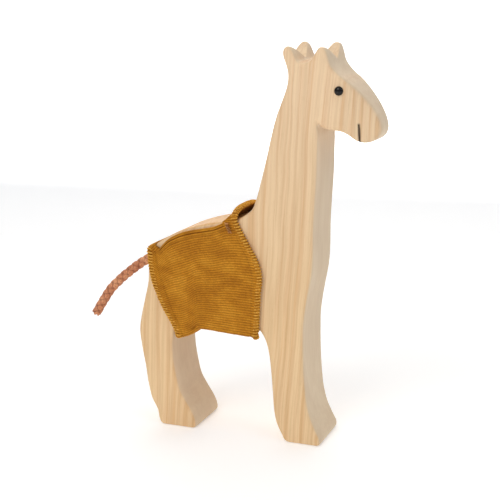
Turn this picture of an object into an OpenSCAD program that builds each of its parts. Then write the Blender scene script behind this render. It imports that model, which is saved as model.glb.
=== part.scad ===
// Wooden giraffe sawn from one thick board, with domed eyes, a cord tail and a corduroy body cover.
// The origin is on the floor under the middle of the wooden body. +X is the way the giraffe faces,
// +Y is its left side and +Z is up. All sizes are in millimetres.

/* [Heights of the body] */
// Floor to the belly
leg_h = 59.5; // [48:0.5:72]
// Belly to the top of the back at the shoulder
trunk_h = 46; // [38:0.5:56]
// Top of the back to the throat
neck_h = 49; // [40:0.5:59]
// Throat to the ear tips
head_h = 36; // [30:0.5:44]

/* [Lengths of the body] */
// Rear leg at the hock, from back to front
rear_leg_w = 19.5; // [16:0.5:24]
// Clear distance between the legs at the knees
leg_gap = 51; // [42:0.5:62]
// Chest and front leg, from back to front
chest_w = 20; // [16.5:0.5:24]
// Reach of the head in front of the throat
head_reach = 29.9; // [25:0.1:36]

/* [Board] */
// Thickness of the board
board_t = 30; // [25:0.5:36]
// Radius sanded on the edges of the board
edge_r = 2; // [1.4:0.1:3]
// Thickness left at the tip of the muzzle
muzzle_t = 14.5; // [11:0.5:20]

/* [Ears and horns] */
// Width of the lengthwise groove between the two sides of the crown
crown_groove_w = 24; // [18:0.5:26]
// Depth of that groove under the ear tips
crown_groove_depth = 6.4; // [4:0.1:8]

/* [Eyes] */
// Diameter of an eye's domed head
eye_d = 4.2; // [3:0.1:6]
// Height of the dome over the wood
eye_h = 1.3; // [0.8:0.1:2]
// Diameter of an eye's pin
eye_pin_d = 1.6; // [1.2:0.1:2.4]
// Length of an eye's pin in the wood
eye_pin_l = 9; // [5:0.5:11]

/* [Mouth] */
// Width of the burnt mouth line
mouth_w = 0.8; // [0.5:0.1:1.5]
// Depth of the burnt mouth line
mouth_depth = 0.8; // [0.4:0.1:1.5]

/* [Tail] */
// Diameter of the tail cord
tail_d = 4.2; // [3.3:0.1:5.2]
// Length of tail cord glued into the rump
tail_root_l = 12; // [8:0.5:13]
// Angle at which the tail leaves the rump, below level
tail_fall = 25; // [15:1:35]

/* [Cover] */
// Thickness of the corduroy
cloth_t = 1.2; // [0.8:0.1:1.8]
// Gap between the wood and the cloth
cover_gap = 0.4; // [0.3:0.1:1]
// Depth of the back opening's edges below the top of the back
slot_drop = 2.2; // [1.8:0.1:4]
// Width of the front strap that crosses the back
front_strap_w = 8; // [6:0.1:10]
// Width of the rear strap that crosses the rump
rear_strap_w = 6.6; // [4:0.1:9]
// Height of the loose front strap over the wood at the cover's front edge
front_strap_lift = 5.5; // [3:0.1:7]
// Height of the rear strap over the wood
rear_strap_lift = 0.8; // [0.6:0.1:3]
// Diameter of the thread bead sewn round the cover's edges
bead_d = 1.6; // [1:0.1:2.4]
// Length of a bartack at the front end of the back opening
bartack_l = 4; // [2:0.1:6]

/* [Hidden] */
$fn = 48;
eps = 0.01;

body_len = rear_leg_w + leg_gap + chest_w + head_reach;
crown_z = leg_h + trunk_h + neck_h + head_h;
fit_gap = 0.05;         // radial play of the eye pins and the tail cord in their holes
thread_gap = 0.15;      // between a thread bead and the cloth it binds
bead_sides = 8;
tail_sides = 8;
outline_step = 3;       // longest step along the outline
round_steps = 3;        // steps in a sanded edge
cover_steps = 8;        // stations along the cover
corner_steps = 4;       // steps in each corner of the cover's loop
side_steps = 6;         // steps down each side of the cover's loop
muzzle_start = 44.2;    // where the muzzle starts to narrow, on the drawing
cover_top_r = 3;
cover_bottom_r = 3;
rise_from = 0.75;       // share of the cover's length where the front strap leaves the wood
bartack_w = 1.1;
bartack_t = 0.5;

// The outline is drawn once at the sizes above. These two turn a place on the drawing into a place
// on the body, so that each stretch follows its own size.
function at_x(x) = lookup(x, [
    [-60.2, -body_len / 2],
    [-40.7, -body_len / 2 + rear_leg_w],
    [10.3, -body_len / 2 + rear_leg_w + leg_gap],
    [30.3, -body_len / 2 + rear_leg_w + leg_gap + chest_w],
    [60.2, body_len / 2]]);
function at_z(z) = lookup(z, [
    [0, 0],
    [59.5, leg_h],
    [105.5, leg_h + trunk_h],
    [154.5, leg_h + trunk_h + neck_h],
    [190.5, crown_z]]);
function at(p) = [at_x(p.x), at_z(p.y), len(p) > 2 ? p.z : 1];

// Outline, as [x, z] or [x, z, share of the edge radius]. It runs up the back of the rear leg,
// along the back, round the head and down to the front foot, then back under the belly.
rear_leg_back = [[-49.5, 1.5, 0.35], [-51, 7.2, 0.8], [-54, 12.6], [-56, 20.5], [-57.4, 30],
    [-59.4, 41], [-60.2, 48.8], [-59, 56.8], [-56.9, 65.6], [-55, 74], [-54.6, 81.5]];
rump = [[-54.8, 86.9], [-53.6, 90.5, 0.9]];
back = [[-50.4, 93.1], [-45.3, 96.4], [-38.6, 100.1], [-30.4, 103.2], [-21.9, 105.5], [-13.9, 106.9]];
nape = [[-7.6, 108.4], [-3.2, 110.8], [0.2, 113.8], [2.2, 118.8], [4.6, 127.8], [7.4, 139.2],
    [9.9, 150.4], [12, 158], [14.8, 165.4], [17, 171.8], [17.5, 176.8], [16.5, 181.6]];
near_ear = [[15.2, 185.6, 0.7], [15, 188, 0.55], [16.8, 190.3, 0.5], [19.2, 189.5, 0.6]];
notch = [[21.4, 186.6, 0.8], [23.7, 183.6], [26.4, 182.6], [29.2, 184, 0.8]];
near_horn = [[31, 187.6, 0.6], [32.6, 190.1, 0.5], [34.8, 189.7, 0.55], [36.3, 186.6, 0.8]];
forehead = [[37.4, 182.4], [40.1, 178.8], [46.6, 173.5], [53.1, 166.9], [57.3, 161.2]];
muzzle = [[59.6, 156.4], [60.2, 152.8], [58.9, 149.4], [56.2, 147.5], [52.4, 146.9], [49.4, 147.8],
    [46.6, 150], [43.8, 151.7]];
chin = [[39.6, 152.3], [36, 152.8, 0.9], [33.2, 154.2, 0.8], [32.1, 156, 0.8]];
throat = [[31.8, 153.6, 0.8], [32.2, 149.5]];
chest = [[32.2, 141], [32, 129], [31.3, 117], [30.8, 104], [30.8, 92.5], [30.3, 84.4], [28.9, 76.4],
    [27.6, 68.8], [26.6, 60.5]];
front_leg_front = [[26.5, 51], [26.8, 40], [27.5, 30], [28.6, 21], [30.4, 14], [33.6, 7, 0.8], [35.5, 2.6, 0.45]];
front_sole = [[35.2, 0.7, 0.3], [33.6, 0, 0.35], [19.2, 0, 0.35], [17.5, 0.8, 0.3]];
front_leg_back = [[16, 3.1, 0.6], [12.9, 9], [11.6, 15.5], [10.9, 24], [10, 34.5], [8.8, 44], [7, 50.4]];
belly = [[3.6, 55.4], [-1.4, 58], [-11.4, 59.5], [-23.4, 59.3], [-32.9, 56.8], [-39.2, 51.6]];
rear_leg_front = [[-41.7, 45], [-41.7, 37.5], [-40, 26.5], [-38.2, 19.4], [-34.8, 13.6], [-31.4, 8.2, 0.8],
    [-29.6, 3, 0.45]];
rear_sole = [[-29.9, 0.7, 0.3], [-31.4, 0, 0.35], [-46.8, 0, 0.35], [-48.5, 0.4, 0.3]];

outline_knots = [for (p = concat(rear_leg_back, rump, back, nape, near_ear, notch, near_horn, forehead,
    muzzle, chin, throat, chest, front_leg_front, front_sole, front_leg_back, belly, rear_leg_front,
    rear_sole)) at(p)];

function flat(p) = [p.x, p.y];
function wrap(list, i) = list[(i + len(list)) % len(list)];
function slope(a, b, c) = let (d0 = norm(flat(b - a)), d1 = norm(flat(c - b)))
    ((b - a) / d0 * d1 + (c - b) / d1 * d0) / (d0 + d1);
function bend(a, b, c, d, t) = let (span = norm(flat(c - b)), m0 = slope(a, b, c) * span,
    m1 = slope(b, c, d) * span)
    b * (2 * t * t * t - 3 * t * t + 1) + m0 * (t * t * t - 2 * t * t + t)
    + c * (3 * t * t - 2 * t * t * t) + m1 * (t * t * t - t * t);
function smooth_loop(knots) = [for (i = [0 : len(knots) - 1])
    let (a = wrap(knots, i - 1), b = knots[i], c = wrap(knots, i + 1), d = wrap(knots, i + 2),
        steps = max(3, ceil(norm(flat(c - b)) / outline_step)))
    for (s = [0 : steps - 1]) let (p = bend(a, b, c, d, s / steps)) [p.x, max(0, p.y), min(1, p.z)]];

outline = smooth_loop(outline_knots);
outline_len = len(outline);

// Unit normal that points into the wood at point i of the outline, which runs clockwise seen from -Y
function inward(i) = let (d = flat(wrap(outline, i + 1) - wrap(outline, i - 1))) [d.y, -d.x] / norm(d);
function half_t(x) = lookup(x, [[at_x(muzzle_start), board_t / 2], [body_len / 2, muzzle_t / 2]]);
function sanded_ring(side, turn) = [for (i = [0 : outline_len - 1])
    let (share = outline[i].z, p = flat(outline[i]) + inward(i) * edge_r * share * (1 - cos(turn)))
    [p.x, side * (half_t(p.x) - edge_r * (1 - sin(turn))), p.y]];

// Walls between the rings of a stack, with n points in each ring
function stack_walls(rings, n) = [for (r = [0 : rings - 2], i = [0 : n - 1], half = [0, 1])
    let (a = r * n + i, b = r * n + (i + 1) % n, c = a + n, d = b + n)
    half == 0 ? [a, c, b] : [b, c, d]];
function stack_ends(rings, n) = [[for (i = [0 : n - 1]) i], [for (i = [0 : n - 1]) rings * n - 1 - i]];

// Triangles that fill a flat clockwise outline, made by cutting off one ear after another
function turn(a, b, c) = (b.x - a.x) * (c.z - a.z) - (b.z - a.z) * (c.x - a.x);
function inside(p, a, b, c) = turn(a, b, p) <= 0 && turn(b, c, p) <= 0 && turn(c, a, p) <= 0;
function is_ear(ring, ids, k) =
    let (i = wrap(ids, k - 1), j = ids[k], l = wrap(ids, k + 1), a = ring[i], b = ring[j], c = ring[l])
    turn(a, b, c) < 0
    && len([for (m = ids) if (m != i && m != j && m != l && inside(ring[m], a, b, c)) 1]) == 0;
function cut_ears(ring, ids, k, done) = len(ids) == 3 ? concat(done, [ids])
    : is_ear(ring, ids, k % len(ids))
        ? let (at_k = k % len(ids)) cut_ears(ring, [for (j = [0 : len(ids) - 1]) if (j != at_k) ids[j]],
            at_k + 1, concat(done, [[wrap(ids, at_k - 1), ids[at_k], wrap(ids, at_k + 1)]]))
        : cut_ears(ring, ids, k + 1, done);

// A side of the board: flat as far as the muzzle, then strips across the narrowed muzzle
function side_faces(ring) =
    let (narrow = [for (i = [0 : outline_len - 1]) if (ring[i].x > at_x(muzzle_start)) i],
        a = min(narrow) - 1, b = max(narrow) + 1, half = floor((b - a) / 2))
    concat(
        cut_ears(ring, concat([for (i = [0 : a]) i], [for (i = [b : outline_len - 1]) i]), 1, []),
        [for (k = [0 : half - 1], tri = [0, 1])
            if (tri == 0 || a + k + 1 < b - k - 1)
                tri == 0 ? [a + k, a + k + 1, b - k] : [a + k + 1, b - k - 1, b - k]]);

module board() {
    turns = [for (s = [0 : round_steps]) 90 * s / round_steps];
    rings = concat([for (s = [round_steps : -1 : 0]) sanded_ring(-1, turns[s])],
        [for (s = [0 : round_steps]) sanded_ring(1, turns[s])]);
    side = side_faces(rings[0]);
    far = (len(rings) - 1) * outline_len;
    polyhedron([for (r = rings) each r], concat(side, stack_walls(len(rings), outline_len),
        [for (f = side) [for (i = [len(f) - 1 : -1 : 0]) f[i] + far]]), convexity = 10);
}

// Places on the head and the rump
eye_at = at([42, 170.3]);
mouth_top = at([50.7, 155.5]);
mouth_low = at([51.2, 145.5]);
crown_from = at_x(12.6);
crown_to = at_x(44.6);
tail_exit = at([-54.6, 85.6]);
tail_way = [-cos(tail_fall), -sin(tail_fall)];

module eye_hole(side) {
    translate([eye_at.x, side * (board_t / 2 + eps), eye_at.y]) rotate([side * 90, 0, 0])
        cylinder(d = eye_pin_d + 2 * fit_gap, h = eye_pin_l + 0.5 + eps);
}

module mouth_cut(side) {
    depth_at = half_t(mouth_low.x) - mouth_depth;
    lean = atan2(mouth_low.x - mouth_top.x, mouth_top.y - mouth_low.y);
    translate([mouth_top.x, side > 0 ? depth_at : -depth_at - board_t, mouth_top.y]) rotate([0, -lean, 0])
        translate([-mouth_w / 2, 0, mouth_low.y - mouth_top.y])
            cube([mouth_w, board_t, mouth_top.y - mouth_low.y]);
}

module crown_groove() {
    reach = 2;
    half_w = crown_groove_w / 2 * (1 + reach / crown_groove_depth);
    translate([crown_from, 0, crown_z - crown_groove_depth]) rotate([90, 0, 90])
        linear_extrude(crown_to - crown_from)
            polygon([[0, 0], [half_w, crown_groove_depth + reach], [-half_w, crown_groove_depth + reach]]);
}

module tail_hole() {
    translate([tail_exit.x, 0, tail_exit.y]) rotate([0, 90 - tail_fall, 0]) translate([0, 0, -5])
        cylinder(d = tail_d + 2 * fit_gap, h = tail_root_l + 5 + 0.5);
}

module body() {
    color([0.9, 0.78, 0.62]) difference() {
        board();
        crown_groove();
        tail_hole();
        for (side = [-1, 1]) {
            eye_hole(side);
            mouth_cut(side);
        }
    }
}

// Domed head and pin turned in one piece; it stands on the side face
module eye(side) {
    dome_r = (pow(eye_d / 2, 2) + pow(eye_h, 2)) / (2 * eye_h);
    dome_angle = asin(eye_d / 2 / dome_r);
    color([0.05, 0.04, 0.04]) translate([eye_at.x, side * board_t / 2, eye_at.y]) rotate([-side * 90, 0, 0])
        rotate_extrude() polygon(concat(
            [[0, -eye_pin_l], [eye_pin_d / 2, -eye_pin_l], [eye_pin_d / 2, 0]],
            [for (s = [0 : 8]) let (a = dome_angle * (8 - s) / 8)
                [dome_r * sin(a), eye_h - dome_r + dome_r * cos(a)]]));
}

module left_eye() { eye(1); }
module right_eye() { eye(-1); }

// Line of the free tail from its exit, as [back, down] from there: it leaves at the tail's fall and
// bends down under its own weight
tail_route = [[0, 0], [3.6, 1.7], [7.2, 3.5], [10.9, 5.6], [14.4, 7.9], [17.9, 10.6], [21.6, 13.7],
    [25, 16.9], [28.3, 20.2], [31.1, 23.9], [33.6, 27.7], [36, 31.6], [38.1, 35.2]];
tail_line = concat(
    [for (s = [2, 1]) [tail_exit.x, tail_exit.y] - tail_way * tail_root_l * s / 2],
    [for (p = tail_route) [tail_exit.x - p.x, tail_exit.y - p.y]]);

module tail_cord() {
    last = len(tail_line) - 1;
    points = [for (i = [0 : last])
        let (d = tail_line[min(last, i + 1)] - tail_line[max(0, i - 1)], way = d / norm(d))
        for (k = [0 : tail_sides - 1]) let (a = 360 * k / tail_sides, r = tail_d / 2)
            [tail_line[i].x - way.y * r * cos(a), r * sin(a), tail_line[i].y + way.x * r * cos(a)]];
    color([0.75, 0.47, 0.34]) polyhedron(points, concat(
        stack_ends(len(tail_line), tail_sides), stack_walls(len(tail_line), tail_sides)));
}

// Cover. Station u runs from its rear edge at 0 to its front edge at 1. Share h runs up a station.
rear_edge = [[0, -37.6], [0.12, -41], [0.31, -45.2], [0.45, -48], [0.65, -51], [0.83, -52.8],
    [1, -53.4]];
front_edge = [[0, 3], [0.08, 3.6], [0.2, 4.5], [0.37, 6.2], [0.47, 6.8], [0.57, 5.3], [0.7, 1], [0.9, -7],
    [1, -7]];
cover_bottom = [[0, 49.8], [0.2, 51], [0.35, 54.4], [1, 52.9]];
strap_rear_x = rear_edge[len(rear_edge) - 1][1];
strap_front_x = front_edge[len(front_edge) - 1][1];

function mix(a, b, t) = a + (b - a) * t;
back_line = [for (p = concat([rump[1]], back, [nape[0]])) flat(p)];
function back_z(x) = at_z(lookup(x, back_line));
function cover_x(u, h) = at_x(mix(lookup(h, rear_edge), lookup(h, front_edge), u));
function cover_low(u) = at_z(lookup(u, cover_bottom));
function cover_high(u) = back_z(mix(strap_rear_x, strap_front_x, u))
    + lookup(u, [[rise_from, rear_strap_lift], [1, front_strap_lift]]);

// Round-cornered loop of a station, out is the distance outside the inner face of the cloth
function corner(cy, cz, r, from) = [for (s = [0 : corner_steps]) let (a = from + 90 * s / corner_steps)
    [cy + r * cos(a), cz + r * sin(a)]];
function loop_yz(u, out) =
    let (low = cover_low(u), high = cover_high(u), rt = cover_top_r, rb = cover_bottom_r,
        w = board_t / 2 + cover_gap,
        side_y = w + out, from_z = low + rb, to_z = high - rt)
    concat(
        corner(w - rb, low + rb, rb + out, -90),
        [for (s = [1 : side_steps - 1]) [side_y, mix(from_z, to_z, s / side_steps)]],
        corner(w - rt, high - rt, rt + out, 0),
        corner(rt - w, high - rt, rt + out, 90),
        [for (s = [1 : side_steps - 1]) [-side_y, mix(to_z, from_z, s / side_steps)]],
        corner(rb - w, low + rb, rb + out, 180));
function station(u, out, along = 0) = let (low = cover_low(u), high = cover_high(u))
    [for (p = loop_yz(u, out))
        [cover_x(u, min(1, max(0, (p.y - low) / (high - low)))) + along, p.x, p.y]];

module sleeve() {
    n = len(station(0, 0));
    count = cover_steps + 1;
    inside = [for (i = [0 : cover_steps]) each station(i / cover_steps, 0)];
    outside = [for (i = [0 : cover_steps]) each station(i / cover_steps, cloth_t)];
    skin = [for (r = [0 : cover_steps - 1], i = [0 : n - 1], half = [0, 1])
        let (a = r * n + i, b = r * n + (i + 1) % n, c = a + n, d = b + n)
        half == 0 ? [a, b, c] : [b, d, c]];
    other = count * n;
    rims = [for (r = [0, cover_steps], i = [0 : n - 1], half = [0, 1])
        let (a = r * n + i, b = r * n + (i + 1) % n, c = a + other, d = b + other,
            tri = half == 0 ? [a, c, b] : [b, c, d])
        r == 0 ? tri : [tri[2], tri[1], tri[0]]];
    polyhedron(concat(inside, outside), concat(
        skin,
        [for (t = skin) [t[2] + other, t[1] + other, t[0] + other]],
        rims), convexity = 8);
}

// Opening over the bare back, between the two straps
slot_from = at_x(strap_rear_x) + rear_strap_w;
slot_to = at_x(strap_front_x) - front_strap_w;
module back_slot() {
    line = [for (p = back_line) let (q = at(p)) if (q.x > slot_from + 1 && q.x < slot_to - 1)
        [q.x, q.y - slot_drop]];
    top = crown_z;
    translate([0, board_t, 0]) rotate([90, 0, 0]) linear_extrude(2 * board_t) polygon(concat(
        [[slot_from, top], [slot_from, line[0].y - 2]], line, [[slot_to, line[len(line) - 1].y + 1.4],
        [slot_to, top]]));
}

module cover() {
    color([0.69, 0.45, 0.11]) difference() {
        sleeve();
        back_slot();
    }
}

// Bead of overlocking thread on one edge of the cover
module edge_bead(u, way) {
    r = bead_d / 2;
    path = station(u, cloth_t / 2, way * (r + thread_gap));
    n = len(path);
    points = [for (i = [0 : n - 1])
        let (d = wrap(path, i + 1) - wrap(path, i - 1), out = [0, d.z, -d.y] / norm([0, d.z, -d.y]))
        for (k = [0 : bead_sides - 1]) let (a = 360 * k / bead_sides)
            path[i] + [r * cos(a), 0, 0] + out * (r * sin(a))];
    faces = [for (i = [0 : n - 1], k = [0 : bead_sides - 1], half = [0, 1])
        let (a = i * bead_sides + k, b = i * bead_sides + (k + 1) % bead_sides,
            c = ((i + 1) % n) * bead_sides + k, d = ((i + 1) % n) * bead_sides + (k + 1) % bead_sides)
        half == 0 ? [a, b, c] : [b, d, c]];
    color([0.8, 0.58, 0.22]) polyhedron(points, faces, convexity = 8);
}

module front_edge_thread() { edge_bead(1, 1); }
module rear_edge_thread() { edge_bead(0, -1); }

// Bartacks that stop the back opening from tearing, one on each side
module slot_bartacks() {
    side_y = board_t / 2 + cover_gap + cloth_t;
    color([0.7, 0.35, 0.16]) for (side = [-1, 1])
        translate([slot_to + bartack_w / 2, side * (side_y + bartack_t / 2 + eps),
            back_z(strap_front_x) - slot_drop - bartack_l / 2])
            rotate([0, -20, 0]) cube([bartack_w, bartack_t, bartack_l], center = true);
}

body();
left_eye();
right_eye();
tail_cord();
cover();
front_edge_thread();
rear_edge_thread();
slot_bartacks();
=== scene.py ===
import bpy
import bmesh
import math
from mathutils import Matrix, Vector, noise


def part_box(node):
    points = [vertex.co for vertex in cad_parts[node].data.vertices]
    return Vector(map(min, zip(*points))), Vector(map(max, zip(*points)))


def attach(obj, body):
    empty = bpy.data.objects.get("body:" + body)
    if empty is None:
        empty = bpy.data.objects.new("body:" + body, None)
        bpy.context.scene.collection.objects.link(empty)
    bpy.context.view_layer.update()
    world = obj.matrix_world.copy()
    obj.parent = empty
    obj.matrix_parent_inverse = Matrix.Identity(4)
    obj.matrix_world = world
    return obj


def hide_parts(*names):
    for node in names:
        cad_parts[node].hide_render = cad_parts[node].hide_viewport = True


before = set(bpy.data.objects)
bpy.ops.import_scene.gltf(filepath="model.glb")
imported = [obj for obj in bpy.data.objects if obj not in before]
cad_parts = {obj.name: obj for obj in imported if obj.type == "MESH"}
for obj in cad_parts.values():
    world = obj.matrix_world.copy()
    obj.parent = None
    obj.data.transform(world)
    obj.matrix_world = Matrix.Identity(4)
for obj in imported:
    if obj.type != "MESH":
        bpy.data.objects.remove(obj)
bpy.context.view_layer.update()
mm = 0.001


def easeLook(table, t):
    # a table of pairs read as a smooth curve
    keys = [k for k, _ in table]
    if t <= keys[0]:
        return table[0][1]
    if t >= keys[-1]:
        return table[-1][1]
    i = max(k for k in range(len(keys) - 1) if keys[k] <= t)

    def slopeAt(k):
        a, b = max(0, k - 1), min(len(table) - 1, k + 1)
        return (table[b][1] - table[a][1]) / (keys[b] - keys[a])

    span = keys[i + 1] - keys[i]
    u = (t - keys[i]) / span
    p, q = table[i][1], table[i + 1][1]
    return (p * (2 * u**3 - 3 * u**2 + 1) + slopeAt(i) * span * (u**3 - 2 * u**2 + u)
            + q * (3 * u**2 - 2 * u**3) + slopeAt(i + 1) * span * (u**3 - u**2))


def smoothStep(a, b, t):
    u = min(1, max(0, (t - a) / (b - a)))
    return u * u * (3 - 2 * u)


def evenPoints(points, count):
    # the same line with evenly spaced points
    lengths = [0]
    for a, b in zip(points, points[1:]):
        lengths.append(lengths[-1] + (b - a).length)
    total, made, k = lengths[-1], [], 0
    for i in range(count):
        want = total * i / (count - 1)
        while k < len(points) - 2 and lengths[k + 1] < want:
            k += 1
        span = max(1e-12, lengths[k + 1] - lengths[k])
        made.append(points[k].lerp(points[k + 1], (want - lengths[k]) / span))
    return made


def newPiece(name, points, faces, material):
    mesh = bpy.data.meshes.new(name)
    mesh.from_pydata([tuple(p) for p in points], [], faces)
    mesh.validate()
    mesh.update()
    piece = bpy.data.objects.new(name, mesh)
    bpy.context.scene.collection.objects.link(piece)
    mesh.materials.append(material)
    for face in mesh.polygons:
        face.use_smooth = True
    return piece


def applyModifier(piece, name):
    bpy.context.view_layer.objects.active = piece
    for other in bpy.context.selected_objects:
        other.select_set(False)
    piece.select_set(True)
    bpy.ops.object.modifier_apply(modifier=name)


def tube(line, radius, sides, closed=False):
    # points and faces of a round tube along a line
    # radius may be a function of the point's number
    points, faces, side = [], [], None
    last = len(line) - 1
    for i, p in enumerate(line):
        ahead = line[(i + 1) % len(line)] if closed else line[min(last, i + 1)]
        behind = line[i - 1] if closed else line[max(0, i - 1)]
        way = (ahead - behind).normalized()
        if side is None:
            side = way.cross(Vector((0.31, 0.87, 0.4))).normalized()
        side = (side - way * side.dot(way)).normalized()
        up = way.cross(side)
        r = radius(i) if callable(radius) else radius
        for k in range(sides):
            a = 2 * math.pi * k / sides
            points.append(p + side * (r * math.cos(a)) + up * (r * math.sin(a)))
    for i in range(len(line) if closed else last):
        for k in range(sides):
            here, there, n = i * sides, (i + 1) % len(line) * sides, (k + 1) % sides
            faces.append((here + k, here + n, there + n, there + k))
    if not closed:
        faces.append(tuple(range(sides - 1, -1, -1)))
        faces.append(tuple(last * sides + k for k in range(sides)))
    return points, faces


def joined(parts):
    # several tubes as one mesh
    points, faces = [], []
    for somePoints, someFaces in parts:
        start = len(points)
        points += somePoints
        faces += [tuple(i + start for i in f) for f in someFaces]
    return points, faces


def newMaterial(name, roughness, specular=0.5):
    material = bpy.data.materials.new(name)
    material.use_nodes = True
    tree = material.node_tree
    shader = tree.nodes["Principled BSDF"]
    shader.inputs["Roughness"].default_value = roughness
    shader.inputs["Specular IOR Level"].default_value = specular
    return material, tree, shader


def addNode(tree, kind, values=None, **settings):
    node = tree.nodes.new(kind)
    for key, value in settings.items():
        setattr(node, key, value)
    for key, value in (values or {}).items():
        node.inputs[key].default_value = value
    return node


def wire(tree, source, target):
    tree.links.new(source, target)


def scaledFrom(tree, vector, scale):
    # turns per millimetre along each axis
    mapping = addNode(tree, "ShaderNodeMapping", {"Scale": [s / mm for s in scale]})
    wire(tree, vector, mapping.inputs["Vector"])
    return mapping.outputs["Vector"]


def stretched(tree, scale):
    return scaledFrom(tree, addNode(tree, "ShaderNodeTexCoord").outputs["Object"], scale)


def noiseOf(tree, vector, scale, detail=3, rough=0.5):
    node = addNode(tree, "ShaderNodeTexNoise",
                   {"Scale": scale, "Detail": detail, "Roughness": rough})
    wire(tree, vector, node.inputs["Vector"])
    return node.outputs["Fac"]


def ramp(tree, value, stops):
    node = addNode(tree, "ShaderNodeValToRGB")
    elements = node.color_ramp.elements
    while len(elements) < len(stops):
        elements.new(0.5)
    for element, (place, color) in zip(elements, stops):
        element.position = place
        element.color = (*color, 1)
    wire(tree, value, node.inputs["Fac"])
    return node.outputs["Color"]


def mixed(tree, kind, share, a, b):
    # share, a and b are each an output of a node or a fixed value
    node = addNode(tree, "ShaderNodeMix", data_type="RGBA", blend_type=kind)
    for source, socket in ((share, node.inputs[0]), (a, node.inputs[6]), (b, node.inputs[7])):
        if isinstance(source, bpy.types.NodeSocket):
            wire(tree, source, socket)
        else:
            socket.default_value = source if isinstance(source, (int, float)) else (*source, 1)
    return node.outputs[2]


def bumpFrom(tree, shader, height, distance, strength):
    node = addNode(tree, "ShaderNodeBump", {"Strength": strength, "Distance": distance})
    wire(tree, height, node.inputs["Height"])
    wire(tree, node.outputs["Normal"], shader.inputs["Normal"])


def painted(tree, name):
    # a number kept on the mesh's points
    return addNode(tree, "ShaderNodeAttribute", attribute_name=name).outputs["Fac"]


def paintPoints(piece, name, values):
    piece.data.attributes.new(name, "FLOAT", "POINT").data.foreach_set("value", values)


def cleanMesh(piece):
    # no loose points, and every face turned outwards
    edit = bmesh.new()
    edit.from_mesh(piece.data)
    loose = [v for v in edit.verts if not v.link_faces]
    bmesh.ops.delete(edit, geom=loose, context="VERTS")
    bmesh.ops.recalc_face_normals(edit, faces=edit.faces)
    edit.to_mesh(piece.data)
    edit.free()


def standIn(piece, node):
    # nothing moves, so every piece rides on the root
    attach(piece, "root")
    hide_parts(node)


camera = {
    "lens": 78.8,           # mm
    "sensor": 36,
    "azimuth": 21.12,       # degrees, towards the front of the giraffe
    "elevation": 12.62,
    "distance": 0.5348,
    "target": (-0.0061, 0, 0.0908),
}


def placeCamera():
    data = bpy.data.cameras.new("camera")
    data.lens = camera["lens"]
    data.sensor_width = camera["sensor"]
    data.clip_start = 0.01
    eye = bpy.data.objects.new("camera", data)
    bpy.context.scene.collection.objects.link(eye)
    a, e = math.radians(camera["azimuth"]), math.radians(camera["elevation"])
    away = Vector((math.sin(a) * math.cos(e), -math.cos(a) * math.cos(e), math.sin(e)))
    eye.location = Vector(camera["target"]) + away * camera["distance"]
    eye.rotation_euler = (-away).to_track_quat("-Z", "Y").to_euler()
    bpy.context.scene.camera = eye


placeCamera()
print("camera placed")


# tail: twelve flat strands plaited round a core
tail = {
    "diameter": 4.2 * mm,
    "exit": (-54.6 * mm, 0, 85.6 * mm),
    # back and down from the exit, in millimetres
    "route": [(0, 0), (3.6, 1.9), (7, 3.8), (10.6, 6), (14, 8.4), (17.4, 11.1), (21.1, 14.1),
              (24.4, 17.2), (27.7, 20.4), (30.5, 24), (33, 27.8), (35.5, 31.7), (37.7, 35.4)],
    "spacing": 0.4 * mm,    # between the points of a strand
    "proud": 1.16,          # the crowns of the strands beside the cord's own radius
    "strands": 6,           # in each direction
    "turn": 12 * mm,        # length of one turn of a strand
    "strandWidth": 1.4375 * mm,
    "strandThickness": 0.52 * mm,
    "strandSides": 8,
    "weave": 0.34,          # how far a strand dips at a crossing, in thicknesses
    "core": 0.76,           # of the radius
    "darkTan": (0.46, 0.17, 0.085),
    "tan": (0.6, 0.25, 0.13),
    "paleTan": (0.74, 0.37, 0.2),
}


def tailMaterial():
    material, tree, shader = newMaterial("leatherTail", 0.62, 0.35)
    fibres = noiseOf(tree, stretched(tree, (0.9, 0.9, 0.9)), 1.6, 4, 0.6)
    blotches = noiseOf(tree, stretched(tree, (0.22, 0.22, 0.22)), 1.0, 2)
    tan = ramp(tree, blotches,
               [(0.3, tail["darkTan"]), (0.55, tail["tan"]), (0.75, tail["paleTan"])])
    worn = ramp(tree, fibres, [(0.3, (0.55, 0.5, 0.5)), (0.6, (1, 1, 1))])
    color = mixed(tree, "MULTIPLY", 0.75, tan, worn)
    # painted shade between the strands and a painted highlight on their crowns
    crowns = ramp(tree, painted(tree, "crown"),
                  [(0.0, (0.42, 0.32, 0.27)), (0.5, (0.96, 0.93, 0.88)), (1.0, (1.3, 1.3, 1.2))])
    color = mixed(tree, "MULTIPLY", 1.0, color, crowns)
    wire(tree, color, shader.inputs["Base Color"])
    bumpFrom(tree, shader, fibres, 0.00025, 0.7)
    return material


def tailLine():
    # a smooth curve through the route, and its length
    ex, _, ez = tail["exit"]
    route = [Vector((ex - b * mm, 0, ez - d * mm)) for b, d in tail["route"]]
    curve, steps = [], 8
    for i in range(len(route) - 1):
        a, b, c, d = route[max(0, i - 1)], route[i], route[i + 1], route[min(len(route) - 1, i + 2)]
        for k in range(steps):
            t = k / steps
            curve.append(0.5 * (2 * b + (c - a) * t + (2 * a - 5 * b + 4 * c - d) * t * t
                                + (3 * b - a - 3 * c + d) * t**3))
    curve.append(route[-1])
    length = sum((b - a).length for a, b in zip(curve, curve[1:]))
    return evenPoints(curve, int(length / tail["spacing"])), length


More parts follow.
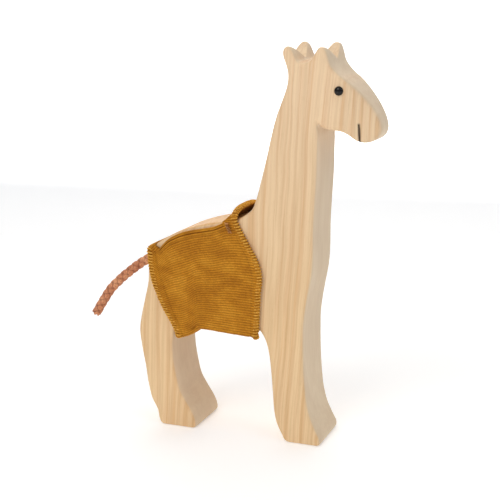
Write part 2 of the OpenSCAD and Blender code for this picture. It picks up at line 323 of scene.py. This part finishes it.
def makeStrand(line, length, outer, direction, number):
    count, n, sides = len(line), tail["strands"], tail["strandSides"]
    halfWidth, halfThick = tail["strandWidth"] / 2, tail["strandThickness"] / 2
    lean = direction * math.atan(2 * math.pi * outer * 0.8 / tail["turn"])
    points, faces, crowns = [], [], []
    for i, p in enumerate(line):
        way = (line[min(count - 1, i + 1)] - line[max(0, i - 1)]).normalized()
        side = Vector((0, 1, 0))
        up = way.cross(side).normalized()
        run = length * i / (count - 1)
        turned = direction * 2 * math.pi * run / tail["turn"] + 2 * math.pi * number / n
        # each strand passes over one and under the next
        phase = math.pi * number + (0 if direction > 0 else math.pi)
        over = math.sin(2 * n * math.pi * run / tail["turn"] + phase)
        radius = outer - tail["strandThickness"] * (0.72 - tail["weave"] * over)
        radius *= 1 + 0.03 * noise.noise(Vector((run * 900, number, direction)))
        out = side * math.cos(turned) + up * math.sin(turned)
        around = way.cross(out).normalized()
        across = (around * math.cos(lean) - way * math.sin(lean)).normalized()
        for k in range(sides):
            c, d = math.cos(2 * math.pi * k / sides), math.sin(2 * math.pi * k / sides)
            points.append(p + out * (radius + d * halfThick) + across * (c * halfWidth))
            # painted light and shade: paler where a strand passes over and on its outer side,
            # darker at its edges and where it dips under
            crowns.append(0.5 + 0.32 * over + 0.3 * d - 0.25 * abs(c))
    for i in range(count - 1):
        for k in range(sides):
            a, b = i * sides + k, i * sides + (k + 1) % sides
            faces.append((a, b, b + sides, a + sides))
    faces.append(tuple(range(sides - 1, -1, -1)))
    faces.append(tuple((count - 1) * sides + k for k in range(sides)))
    return points, faces, crowns


def makeTail():
    line, length = tailLine()
    count = len(line)
    outer = tail["proud"] * tail["diameter"] / 2
    crowns, parts = [], []
    for direction in (1, -1):
        for number in range(tail["strands"]):
            points, faces, oneStrandLightShade = makeStrand(line, length, outer, direction, number)
            parts.append((points, faces))
            crowns += oneStrandLightShade

    def coreRadius(i):
        # the core fills the plait and closes its cut end
        swell = 0.16 * smoothStep(count - 7, count - 3, i)
        return outer * (tail["core"] + swell - 0.2 * smoothStep(count - 3, count - 1, i))

    core = tube(line, coreRadius, 12)
    # the core is painted with the shade between the strands
    crowns += [0.22] * len(core[0])
    parts.append(core)
    points, faces = joined(parts)
    piece = newPiece("braidedTail", points, faces, tailMaterial())
    paintPoints(piece, "crown", [min(1, max(0, c)) for c in crowns])
    standIn(piece, "tail_cord")


makeTail()
print("tail plaited")


# body: one sawn and sanded board
wood = {
    "paleGrain": (0.86, 0.645, 0.42),
    "grain": (0.82, 0.585, 0.37),
    "darkGrain": (0.78, 0.53, 0.31),
    # colour of the narrow faces, with painted cool fill light in it
    "sawn": (0.74, 0.6, 0.43),
    # painted warm bounce light from the orange cloth, laid on the bare back
    "paintedBounce": (0.95, 0.8, 0.56),
    "grainLean": -3.5,      # degrees off the board's length
    "voxel": 0.5 * mm,
    "smoothing": 3,
    "crownLean": 0.7 * mm,  # the far side of the crown stands higher than the near side
    "crownFrom": 176 * mm,  # heights where the lean starts and is whole
    "crownTo": 187 * mm,
    "scoopAt": 26 * mm,     # the scoop between ear and horn
    "scoopWidth": 4.5 * mm,
    "scoopShift": 2.2 * mm,
    "scoopFrom": 178 * mm,
    "scoopTo": 184 * mm,
    # the painted bounce light fades out above this height
    "paintedBounceBelow": 112 * mm,
}


def woodMaterial():
    material, tree, shader = newMaterial("bareMaple", 0.55, 0.3)
    # broad wandering bands, with fine streaks and short flecks along the grain
    wander = noiseOf(tree, stretched(tree, (0.05, 0.05, 0.012)), 1.0, 2)
    place = addNode(tree, "ShaderNodeTexCoord")
    shift = addNode(tree, "ShaderNodeVectorMath", operation="ADD")
    spread = addNode(tree, "ShaderNodeVectorMath", {"Scale": 6 * mm}, operation="SCALE")
    wire(tree, noiseVector(tree, 0.03), spread.inputs[0])
    wire(tree, place.outputs["Object"], shift.inputs[0])
    wire(tree, spread.outputs[0], shift.inputs[1])
    lean = addNode(tree, "ShaderNodeMapping", {"Rotation": (0, math.radians(wood["grainLean"]), 0)})
    wire(tree, shift.outputs[0], lean.inputs["Vector"])
    grainWay = lean.outputs["Vector"]
    bands = noiseOf(tree, scaledFrom(tree, grainWay, (0.42, 0.1, 0.005)), 1.0, 3, 0.6)
    streaks = noiseOf(tree, scaledFrom(tree, grainWay, (1.0, 0.5, 0.018)), 1.0, 3, 0.55)
    flecks = noiseOf(tree, scaledFrom(tree, grainWay, (3.4, 3.4, 0.35)), 1.0, 2, 0.5)
    base = ramp(tree, bands,
                [(0.4, wood["darkGrain"]), (0.47, wood["grain"]), (0.56, wood["paleGrain"])])
    fine = ramp(tree, streaks, [(0.38, (0.9, 0.86, 0.82)), (0.6, (1.03, 1.03, 1.03))])
    color = mixed(tree, "MULTIPLY", 0.75, base, fine)
    spots = ramp(tree, flecks, [(0.3, (0.9, 0.86, 0.82)), (0.42, (1, 1, 1))])
    color = mixed(tree, "MULTIPLY", 0.45, color, spots)
    broad = ramp(tree, wander, [(0.35, (0.97, 0.95, 0.93)), (0.65, (1.02, 1.01, 1.0))])
    color = mixed(tree, "MULTIPLY", 1.0, color, broad)
    # the legs are a little warmer than the neck
    height = addNode(tree, "ShaderNodeSeparateXYZ")
    wire(tree, place.outputs["Object"], height.inputs[0])
    share = addNode(tree, "ShaderNodeMath", {1: 5.0}, operation="MULTIPLY")
    wire(tree, height.outputs["Z"], share.inputs[0])
    warmth = ramp(tree, share.outputs[0], [(0.3, (0.97, 0.93, 0.82)), (0.85, (1, 1, 1))])
    color = mixed(tree, "MULTIPLY", 1.0, color, warmth)
    # the sawn narrow faces have plainer grain than the board's two faces, and their cooler tone is
    # painted cool fill light
    plainPaintedCool = mixed(tree, "MULTIPLY", 1.0, mixed(tree, "MIX", 0.75, color, wood["sawn"]), broad)
    color = mixed(tree, "MIX", painted(tree, "faced"), plainPaintedCool, color)
    # painted warm bounce light from the orange cloth: the bare back is tinted warmer
    color = mixed(tree, "MULTIPLY", painted(tree, "paintedBounceShare"), color, wood["paintedBounce"])
    color = mixed(tree, "MIX", painted(tree, "burnt"), color, mouth["burnt"])
    wire(tree, color, shader.inputs["Base Color"])
    rough = ramp(tree, streaks, [(0.3, (0.62, 0.62, 0.62)), (0.7, (0.48, 0.48, 0.48))])
    wire(tree, rough, shader.inputs["Roughness"])
    bumpFrom(tree, shader, streaks, 0.00006, 0.5)
    return material


def noiseVector(tree, scale):
    # noise as a shift to either side
    node = addNode(tree, "ShaderNodeTexNoise", {"Scale": 1.0, "Detail": 2})
    wire(tree, stretched(tree, (scale, scale, scale * 0.5)), node.inputs["Vector"])
    center = addNode(tree, "ShaderNodeVectorMath", {1: (0.5, 0.5, 0.5)}, operation="SUBTRACT")
    wire(tree, node.outputs["Color"], center.inputs[0])
    return center.outputs[0]


mouth = {
    "top": (50.7, 155.5),   # x and height
    "low": (51.2, 145.5),
    "halfWidth": 0.42,
    "edges": 4,             # the line stays this far off the middle of the board
    "burnt": (0.035, 0.018, 0.009),
}


def shapeCrown(mesh):
    for v in mesh.vertices:
        sideways = max(-1, min(1, v.co.y / (11 * mm)))
        lean = wood["crownLean"] * smoothStep(wood["crownFrom"], wood["crownTo"], v.co.z) * sideways
        v.co.z += lean
        v.co.x -= 0.6 * max(0, lean)
        # the scoop sits nearer to the ear
        off = (v.co.x - wood["scoopAt"]) / wood["scoopWidth"]
        high = smoothStep(wood["scoopFrom"], wood["scoopTo"], v.co.z)
        v.co.x -= wood["scoopShift"] * math.exp(-off * off) * high
    mesh.update()


def mouthLine(x, y, z):
    # 1 on the burnt line, 0 away from it
    (xt, zt), (xl, zl) = mouth["top"], mouth["low"]
    if abs(y) <= mouth["edges"] or not zt + 1 > z > zl - 1:
        return 0
    t = min(1, max(0, (zt - z) / (zt - zl)))
    off = abs(x - (xt + (xl - xt) * t))
    line = smoothStep(mouth["halfWidth"] + 0.28, mouth["halfWidth"] - 0.2, off)
    return line * smoothStep(zt + 0.5, zt - 0.2, z)


def makeBody():
    piece = bpy.data.objects.new("sawnBody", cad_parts["body"].data.copy())
    bpy.context.scene.collection.objects.link(piece)
    remesh = piece.modifiers.new("remesh", "REMESH")
    remesh.mode = "VOXEL"
    remesh.voxel_size = wood["voxel"]
    applyModifier(piece, "remesh")
    smooth = piece.modifiers.new("smooth", "SMOOTH")
    smooth.factor = 0.5
    smooth.iterations = wood["smoothing"]
    applyModifier(piece, "smooth")
    mesh = piece.data
    shapeCrown(mesh)
    mesh.materials.clear()
    mesh.materials.append(woodMaterial())
    faced, burnt, paintedBounceShare = [], [], []
    for v in mesh.vertices:
        sideways, upward = abs(v.normal.y), v.normal.z
        # 1 on the board's faces and its top, 0 on the narrow faces that take the plainer grain and
        # the painted cool light
        faced.append(max(smoothStep(0.25, 0.8, sideways), 0.8 * smoothStep(0.7, 0.95, upward)))
        burnt.append(mouthLine(*(v.co / mm)))
        # painted warm bounce light on the upward faces of the back, beside the cloth
        low = smoothStep(wood["paintedBounceBelow"] + 10 * mm, wood["paintedBounceBelow"], v.co.z)
        paintedBounceShare.append(smoothStep(0.5, 0.9, upward) * low)
    paintPoints(piece, "faced", faced)
    paintPoints(piece, "burnt", burnt)
    paintPoints(piece, "paintedBounceShare", paintedBounceShare)
    for face in mesh.polygons:
        face.use_smooth = True
    standIn(piece, "body")
    print("body has", len(mesh.vertices), "points")


makeBody()
print("body sanded")


# corduroy cover, its overlocked edges and its bartacks
cover = {
    "halfWidth": 16.25,     # outside face from the middle plane, mm
    "thickness": 1.0,
    "rib": 1.19,            # corduroy rib spacing
    "ribHeight": 0.4,
    "rowsPerRib": 5,
    "sideRibs": 44,         # from the lower line to the upper line
    "underRibs": 27,
    "overRibs": 34,
    "columns": 84,
    "length": 52,           # from the rear edge to the front edge, for the hems
    "hemWidth": 4.2,
    "slotFrom": 0.135,      # share of the length where the back opening starts and ends
    "slotTo": 0.85,
    "foldRadius": 1.8,      # turn at the bottom edge
    "bulge": 0.75,          # the middle of a side beside its edges
    "haunchDrop": 3.6,      # how much lower the ribs run at the haunch
    "middle": 78,           # height of the middle of the trunk
    "rearStrap": 91.4,      # height of the rear strap at its rear edge
    "strapLow": 107.2,      # the front strap, at its rear edge and its front edge
    "hoodTop": 113.6,
    "darkOchre": (0.42, 0.155, 0.008),
    "ochre": (0.5, 0.195, 0.011),
    "paleOchre": (0.58, 0.245, 0.017),
}
# two pleats run out of the pucker: x, height, lean and depth
pleats = [(-28.3, 54.0, 0.55, 0.9), (-30.3, 52.6, 0.95, 0.7)]
# upper line of a side, as x and height; between the straps it is the edge of the opening
coverTop = [(-53.3, 86.8), (-50.6, 88.3), (-47.2, 91.6), (-43.7, 95.5), (-40.9, 97.7),
            (-35.4, 100.4), (-30, 102), (-24.7, 103.1), (-18, 104.7), (-13.9, 106.6),
            (-11.9, 107.4), (-6.7, 108.2)]
# lower line of a side
coverLow = [(-39.4, 49.4), (-36.9, 49.1), (-33.9, 49.7), (-30.8, 51.2), (-28, 53.6), (-25.6, 54.3),
            (-19, 54.1), (-9, 53.4), (-3, 53.2), (4, 53)]
# ends of each rib: share of the way up a side, and x
rearEnds = [(0, -39), (0.06, -39.8), (0.16, -41.9), (0.3, -45), (0.45, -47.8), (0.53, -49),
            (0.64, -50.8), (0.77, -52.1), (0.9, -52.9), (1, -53.3)]
frontEnds = [(0, 4.1), (0.12, 4.6), (0.25, 4.9), (0.38, 5.3), (0.46, 5.9), (0.52, 6), (0.6, 5.2),
             (0.69, 3.2), (0.77, 0.4), (0.85, -2.1), (0.93, -4.7), (1, -6.7)]
# top of the wood under the straps
backLine = [(-55, 86.9), (-53.6, 90.5), (-50.4, 93.1), (-45.3, 96.4), (-38.6, 100.1),
            (-30.4, 103.2), (-21.9, 105.5), (-13.9, 106.9), (-7.6, 108.4)]


def clothBump(x, h, seed):
    # slow hills and hollows of the loose cloth, in mm
    return (0.55 * noise.noise(Vector((x * 0.055 + seed, h * 2.6, seed * 3.1)))
            + 0.3 * noise.noise(Vector((x * 0.16, h * 7 + seed, 5.2 + seed))))


def sidePoint(s, h, sign):
    # s runs from the rear edge to the front edge, h from the lower line to the upper line
    x = easeLook(rearEnds, h) * (1 - s) + easeLook(frontEnds, h) * s
    low, top = easeLook(coverLow, x), easeLook(coverTop, x)
    z = low + (top - low) * h
    # ribs climb steeply over the haunch
    haunch = smoothStep(-20, -46, x) * math.sin(math.pi * h)
    z -= cover["haunchDrop"] * haunch * (1 - h)
    seed = 0 if sign < 0 else 17.3
    belly = math.sin(math.pi * min(1, max(0, h))) ** 0.6
    middle = math.sin(math.pi * min(1, max(0, s))) ** 0.5
    y = cover["halfWidth"] + cover["bulge"] * belly * middle + clothBump(x, h, seed) * belly * 0.8
    for px, pz, lean, size in pleats:
        along = (x - px) * math.cos(lean) + (z - pz) * math.sin(lean)
        off = -(x - px) * math.sin(lean) + (z - pz) * math.cos(lean)
        fade = smoothStep(-6, 0, -abs(along)) * smoothStep(0.3, 0.02, h)
        y -= size * math.exp(-(off / 0.8) ** 2) * fade
    return Vector((x, sign * y, z))


def arch(near, far, rise, power, bow, count):
    # a squared-off arch from one side to the other; bow moves its middle along the giraffe
    width, line, steps = abs(near.y), [], 40
    for i in range(steps + 1):
        a = math.pi * i / steps
        c, d = math.cos(a), abs(math.sin(a)) ** power
        y = width * math.copysign(abs(c) ** power, c) * math.copysign(1, near.y)
        share = (1 - y / near.y) / 2
        p = near.lerp(far, share)
        # under the belly the bow starts away from the sides
        bend = d if rise > 0 else smoothStep(0.01, 0.3, min(share, 1 - share))
        line.append(Vector((p.x + bow * bend, y, p.z + rise * d)))
    return evenPoints(line, count)


def underLine(s, count):
    # across the belly from the near side to the far side
    retreat = -5 * smoothStep(0.8, 1, s)
    return arch(sidePoint(s, 0, -1), sidePoint(s, 0, 1), -cover["foldRadius"], 0.45, retreat, count)


def overLine(s, count):
    # across the back from the far side to the near side
    near, far = sidePoint(s, 1, -1), sidePoint(s, 1, 1)
    if s < 0.5:
        t = min(1, s / cover["slotFrom"])
        return arch(far, near, cover["rearStrap"] + 2.5 * t - near.z, 0.3, -0.6 - 2.6 * t, count)
    # the front strap rests on the back and its front edge stands up like a hood
    t = max(0, (s - cover["slotTo"]) / (1 - cover["slotTo"]))
    rest = easeLook(backLine, near.x) + 0.5
    lift = (cover["hoodTop"] - cover["strapLow"]) * math.sin(1.3 * t) / math.sin(1.3)
    lifted = cover["strapLow"] + lift
    return arch(far, near, max(rest, lifted) - near.z, 0.42 + 0.29 * t, 0, count)


def corduroyMaterial():
    material, tree, shader = newMaterial("ochreCorduroy", 0.85, 0.15)
    shader.inputs["Sheen Weight"].default_value = 0.2
    shader.inputs["Sheen Roughness"].default_value = 0.45
    shader.inputs["Sheen Tint"].default_value = (1.0, 0.7, 0.25, 1)
    patches = noiseOf(tree, stretched(tree, (0.1, 0.1, 0.16)), 1.0, 3, 0.6)
    pile = noiseOf(tree, stretched(tree, (1.3, 1.3, 2.4)), 1.0, 3, 0.65)
    ochre = ramp(tree, patches, [(0.34, cover["darkOchre"]), (0.5, cover["ochre"]),
                                 (0.66, cover["paleOchre"])])
    tufts = ramp(tree, pile,
                 [(0.3, (0.72, 0.68, 0.6)), (0.5, (0.98, 0.98, 0.98)), (0.72, (1.3, 1.36, 1.6))])
    color = mixed(tree, "MULTIPLY", 0.8, ochre, tufts)
    # painted shade between the ribs and a painted pale sheen on their crowns
    ribShadeAndSheen = ramp(tree, painted(tree, "rib"),
                   [(0.0, (0.42, 0.34, 0.22)), (0.45, (0.84, 0.82, 0.76)), (1.0, (1.2, 1.24, 1.5))])
    color = mixed(tree, "MULTIPLY", 1.0, color, ribShadeAndSheen)
    wire(tree, color, shader.inputs["Base Color"])
    fuzz = noiseOf(tree, stretched(tree, (4.5, 4.5, 6.5)), 1.0, 3, 0.7)
    bumpFrom(tree, shader, fuzz, 0.0004, 0.6)
    return material


def makeCover():
    perRib, columns = cover["rowsPerRib"], cover["columns"]
    sideRows, underRows = cover["sideRibs"] * perRib, cover["underRibs"] * perRib
    overRows = cover["overRibs"] * perRib
    grid = []
    for i in range(columns + 1):
        s = i / columns
        line = [sidePoint(s, 1 - k / sideRows, -1) for k in range(sideRows)]
        line += underLine(s, underRows + 1)[:-1]
        line += [sidePoint(s, k / sideRows, 1) for k in range(sideRows)]
        line += overLine(s, overRows + 1)[:-1]
        grid.append(line)
    rows = len(grid[0])
    opening = 2 * sideRows + underRows
    slotA, slotB = round(cover["slotFrom"] * columns), round(cover["slotTo"] * columns)

    def normalAt(i, j):
        along = grid[min(columns, i + 1)][j] - grid[max(0, i - 1)][j]
        # the opening's edge takes its slope from inside the cloth
        before, after = (j - 1) % rows, (j + 1) % rows
        if slotA < i < slotB:
            before, after = (0 if j == 0 else before), (j if j == opening else after)
        normal = along.cross(grid[i][after] - grid[i][before]).normalized()
        away = grid[i][j] - Vector((grid[i][j].x, 0, cover["middle"]))
        return normal if normal.dot(away) > 0 else -normal

    points, ribLightAndShade, normals = [], [], []
    for i in range(columns + 1):
        s = i / columns
        for j in range(rows):
            p = grid[i][j]
            ribShape = abs(math.cos(math.pi * j / perRib)) ** 0.8
            wear = 0.75 + 0.5 * noise.noise(Vector((p.x * 0.3, p.y * 0.2, p.z * 0.3)))
            height = cover["ribHeight"] * ribShape * wear
            # front and rear hems are double cloth with a sewn line at their inner side
            edge, hem = min(s, 1 - s) * cover["length"], cover["hemWidth"]
            seam = math.exp(-((edge - hem) / 0.35) ** 2)
            if j <= opening:
                height += 0.3 * smoothStep(hem + 0.5, hem - 0.4, edge) - 0.15 * seam
            # the opening's edge is turned in: a rounded fold and two sewn grooves
            down = min(j, max(0, opening - j)) * cover["rib"] / perRib
            fold = 0
            if slotA <= i <= slotB and j <= opening and down < 6:
                fold = math.exp(-((down - 1.6) / 0.35) ** 2)
                fold += 0.7 * math.exp(-((down - 3.7) / 0.3) ** 2)
                height += 0.55 * smoothStep(4.4, 3.4, down) - 0.45 * fold
                height -= 0.7 * smoothStep(0.9, 0.0, down)
            normals.append(normalAt(i, j))
            points.append((p + normals[-1] * height) * mm)
            # painted light and shade: pale with painted sheen on the rib crowns, painted shade in
            # the hem's sewn line and in the fold's grooves
            pale = ribShape * (0.8 + 0.3 * wear) - 0.25 * seam - 0.5 * fold
            ribLightAndShade.append(min(1, max(0, pale)))
    faces = []
    for i in range(columns):
        for j in range(rows):
            if slotA <= i < slotB and j >= opening:
                continue
            k = (j + 1) % rows
            faces.append((i * rows + j, (i + 1) * rows + j, (i + 1) * rows + k, i * rows + k))
    piece = newPiece("corduroyCover", points, faces, corduroyMaterial())
    paintPoints(piece, "rib", ribLightAndShade)
    cleanMesh(piece)
    outside = len(piece.data.vertices)
    thick = piece.modifiers.new("thickness", "SOLIDIFY")
    thick.thickness = cover["thickness"] * mm
    thick.offset = -1
    applyModifier(piece, "thickness")
    # the back of the cloth is plain, and painted dark with the grooves' painted shade, for the
    # shade inside the cover
    shade = piece.data.attributes["rib"].data
    for i in range(outside, len(shade)):
        shade[i].value = 0
    standIn(piece, "cover")
    print("cover has", len(piece.data.vertices), "points")
    return piece, grid, normals


overlock = {
    "thread": 0.62 * mm,
    "reach": 1.5,           # half the width that the stitches cover, mm
    "inset": 0.8,           # how far the coil sits in from the edge, as a share of the reach
    "depth": 1.15,          # half their height through the cloth
    "pitch": 1.45,
    "flatAbove": 109,       # the coil lies flatter over the straps
    "flatShare": 0.8,
    "gold": (0.82, 0.45, 0.08),
    "darkGold": (0.5, 0.21, 0.02),
}
bartack = {
    "top": (-11.7, 107.0),  # x and height
    "low": (-9.7, 102.3),
    "width": 1.9,
    "proud": 0.85,          # of the cover's side
    "rows": 5,
    "thread": 0.4 * mm,
    "red": (0.82, 0.42, 0.17),
    "darkRed": (0.5, 0.16, 0.03),
}


def threadMaterial(name, light, dark):
    material, tree, shader = newMaterial(name, 0.85, 0.1)
    twist = noiseOf(tree, stretched(tree, (1.1, 1.1, 1.1)), 1.0, 3, 0.6)
    wire(tree, ramp(tree, twist, [(0.35, dark), (0.6, light)]), shader.inputs["Base Color"])
    bumpFrom(tree, shader, twist, 0.0002, 0.5)
    return material


def makeEdgeThread(name, node, line, normals, way, material):
    # a coil of thread wrapped round one edge of the cloth
    around = line + [line[0]]
    lengths = [0]
    for a, b in zip(around, around[1:]):
        lengths.append(lengths[-1] + (b - a).length)
    turns = round(lengths[-1] / overlock["pitch"])
    steps, coil, k = 9, [], 0
    for i in range(turns * steps):
        want = lengths[-1] * i / (turns * steps)
        while lengths[k + 1] < want:
            k += 1
        share = (want - lengths[k]) / max(1e-9, lengths[k + 1] - lengths[k])
        center = around[k].lerp(around[k + 1], share)
        out = normals[k].lerp(normals[(k + 1) % len(normals)], share).normalized()
        a = 2 * math.pi * i / steps
        across = Vector((way, 0, 0)) * (overlock["reach"] * (math.cos(a) - overlock["inset"]))
        flat = overlock["flatShare"] if center.z > overlock["flatAbove"] else 1
        depth = overlock["depth"] * flat
        coil.append((center + across + out * (depth * math.sin(a) - 0.1)) * mm)
    points, faces = tube(coil, overlock["thread"] / 2, 6, closed=True)
    piece = newPiece(name, points, faces, material)
    standIn(piece, node)
    return piece


def makeBartacks():
    (xt, zt), (xl, zl) = bartack["top"], bartack["low"]
    parts = []
    for sign in (-1, 1):
        for strand in (0, 1):
            zigzag = []
            for i in range(2 * bartack["rows"] + 1):
                t = i / (2 * bartack["rows"])
                side = (1 if (i + strand) % 2 else -1) * bartack["width"] / 2
                y = sign * (cover["halfWidth"] + bartack["proud"])
                zigzag.append(Vector((xt + (xl - xt) * t + side, y, zt + (zl - zt) * t)) * mm)
            parts.append(tube(zigzag, bartack["thread"] / 2, 6))
    points, faces = joined(parts)
    material = threadMaterial("bartackRed", bartack["red"], bartack["darkRed"])
    piece = newPiece("openingBartacks", points, faces, material)
    standIn(piece, "slot_bartacks")
    return piece


def makeCoverAndThreads():
    piece, grid, normals = makeCover()
    rows = len(grid[0])
    gold = threadMaterial("goldThread", overlock["gold"], overlock["darkGold"])
    front = makeEdgeThread("frontOverlock", "front_edge_thread", grid[-1], normals[-rows:], 1, gold)
    rear = makeEdgeThread("rearOverlock", "rear_edge_thread", grid[0], normals[:rows], -1, gold)
    makeBartacks()


makeCoverAndThreads()
print("cover sewn")


eyes = {
    "diameter": 4.2 * mm,
    "height": 1.55 * mm,    # of the dome
    "inset": 1.3 * mm,      # the dome's rim below the top of the CAD's eye
    "pin": 0.8 * mm,        # radius
    "pinDepth": 8.5 * mm,
    "sides": 32,
}


def eyeMaterial():
    material, tree, shader = newMaterial("blackBead", 0.1, 0.22)
    shader.inputs["Coat Weight"].default_value = 0.15
    shader.inputs["Coat Roughness"].default_value = 0.03
    specks = noiseOf(tree, stretched(tree, (0.7, 0.7, 0.7)), 1.0, 3)
    color = ramp(tree, specks, [(0.3, (0.003, 0.0025, 0.0025)), (0.7, (0.007, 0.005, 0.0045))])
    wire(tree, color, shader.inputs["Base Color"])
    bumpFrom(tree, shader, specks, 0.00002, 0.2)
    return material


def makeEyes():
    material, sides, steps = eyeMaterial(), eyes["sides"], 12
    for name, node, sign in (("leftEye", "left_eye", 1), ("rightEye", "right_eye", -1)):
        low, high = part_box(node)
        cx, cz = (low[0] + high[0]) / 2, (low[2] + high[2]) / 2
        face = max(abs(low[1]), abs(high[1])) - eyes["inset"]
        # rings from the dome's top to its rim, then the pin
        rings = []
        for k in range(1, steps + 1):
            a = math.pi / 2 * k / steps
            rings.append((eyes["diameter"] / 2 * math.sin(a), eyes["height"] * math.cos(a)))
        rings += [(eyes["pin"], 0), (eyes["pin"], -eyes["pinDepth"])]
        points = [Vector((cx, sign * (face + eyes["height"]), cz))]
        for r, h in rings:
            for k in range(sides):
                a = 2 * math.pi * k / sides
                x, z = cx + r * math.cos(a), cz + r * math.sin(a)
                points.append(Vector((x, sign * (face + h), z)))
        faces = [(0, 1 + k, 1 + (k + 1) % sides) for k in range(sides)]
        for m in range(len(rings) - 1):
            for k in range(sides):
                a, b = 1 + m * sides + k, 1 + m * sides + (k + 1) % sides
                faces.append((a, a + sides, b + sides, b))
        faces.append(tuple(range(len(points) - sides, len(points))))
        piece = newPiece(name, points, faces, material)
        cleanMesh(piece)
        standIn(piece, node)


makeEyes()
print("eyes set")


studio = {
    "floor": (0.97, 0.97, 0.97),
    "floorShade": (0.96, 0.96, 0.96),
    "floorGlow": 0.22,
    "room": (0.93, 0.98, 1.08),
    "roomStrength": 0.37,
    "halfWidth": 4,         # of the floor, m
    "wallFrom": 2.2,        # where the floor starts to turn up
    "turnRadius": 0.9,
    # place, aim, size, watts and colour
    "lights": {
        "key": ((-0.2, -0.68, 0.78), (0, 0, 0.14), 0.5, 3.5, (1.0, 0.95, 0.87)),
        "fill": ((0.85, -0.3, 0.85), (0, 0, 0.09), 0.5, 1.75, (0.88, 0.97, 1.0)),
        "top": ((0.0, 0.3, 1.1), (0, 0, 0.09), 0.7, 2.7, (1.0, 0.88, 0.69)),
        "backdropLight": ((-0.6, 0.9, 1.3), (-0.9, 3.0, 0.8), 1.6, 60.0, (1, 1, 1)),
    },
}


def areaLight(name, place, aim, size, watts, color):
    data = bpy.data.lights.new(name, "AREA")
    data.size = size
    data.energy = watts
    data.color = color
    lamp = bpy.data.objects.new(name, data)
    lamp.location = place
    lamp.rotation_euler = (Vector(aim) - Vector(place)).to_track_quat("-Z", "Y").to_euler()
    bpy.context.scene.collection.objects.link(lamp)


def makeStudio():
    scene = bpy.context.scene
    scene.view_settings.view_transform = "Standard"
    world = bpy.data.worlds.new("room")
    scene.world = world
    world.use_nodes = True
    back = world.node_tree.nodes["Background"]
    back.inputs["Color"].default_value = (*studio["room"], 1)
    back.inputs["Strength"].default_value = studio["roomStrength"]
    floor, tree, shader = newMaterial("paleFloor", 0.8, 0.2)
    grain = noiseOf(tree, stretched(tree, (0.02, 0.02, 0.02)), 1.0, 2)
    pale = ramp(tree, grain, [(0, studio["floor"]), (1, studio["floorShade"])])
    wire(tree, pale, shader.inputs["Base Color"])
    shader.inputs["Emission Color"].default_value = (1, 1, 1, 1)
    shader.inputs["Emission Strength"].default_value = studio["floorGlow"]
    # a level floor that sweeps up into a wall far behind
    start, radius, steps = studio["wallFrom"], studio["turnRadius"], 12
    profile = [(-3.0, 0.0)]
    for a in [math.pi / 2 * k / steps for k in range(steps + 1)]:
        profile.append((start + radius * math.sin(a), radius - radius * math.cos(a)))
    profile.append((start + radius, 3.5))
    turn = math.radians(camera["azimuth"])
    c, d = math.cos(turn), math.sin(turn)
    points, faces = [], []
    for y, z in profile:
        for x in (-studio["halfWidth"], studio["halfWidth"]):
            points.append(Vector((x * c - y * d, x * d + y * c, z)))
    for i in range(len(profile) - 1):
        faces.append((2 * i, 2 * i + 1, 2 * i + 3, 2 * i + 2))
    newPiece("floor", points, faces, floor)
    for name, light in studio["lights"].items():
        areaLight(name, *light)


makeStudio()
print("studio lit")
